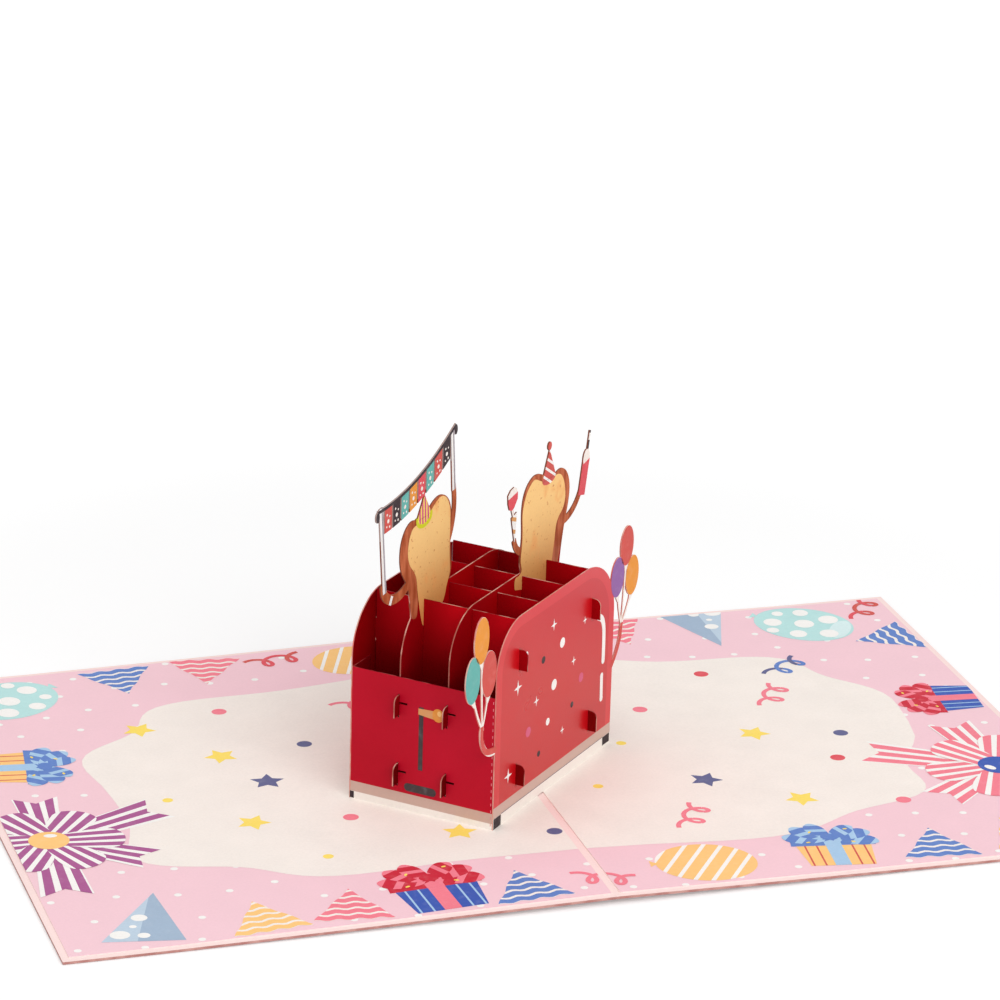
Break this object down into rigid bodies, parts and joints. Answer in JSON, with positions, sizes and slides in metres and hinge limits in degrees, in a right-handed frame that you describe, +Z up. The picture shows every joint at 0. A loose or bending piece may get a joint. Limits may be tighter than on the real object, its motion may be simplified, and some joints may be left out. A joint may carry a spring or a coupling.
{
  "type": "pop up card",
  "caption": "Open folding paper card on which a box of interlocking die-cut sheets stands up across the fold, with cut-out toast slices, a flag line and balloons.",
  "frame": {"origin": "under the middle of the open card, on the surface that it lies on", "axes": "+X across the fold to the right half, +Y along the fold away from the reader, +Z up"},
  "size_m": [0.3, 0.19, 0.1058],
  "materials": {
    "cover_board": "matte",
    "printed_liner": "matte",
    "coral_paper": "matte",
    "red_paper": "matte",
    "slat_paper": "matte"
  },
  "bodies": {
    "root": {"cover": "cover_board", "left_liner": "printed_liner", "right_liner": "printed_liner", "front_panel": "coral_paper", "back_panel": "coral_paper", "left_wall": "red_paper", "right_wall": "red_paper", "front_slat": "slat_paper", "back_slat": "slat_paper", "cross_slat_1": "slat_paper", "cross_slat_2": "slat_paper", "cross_slat_3": "slat_paper", "cross_slat_4": "slat_paper"}
  },
  "joints": []
}
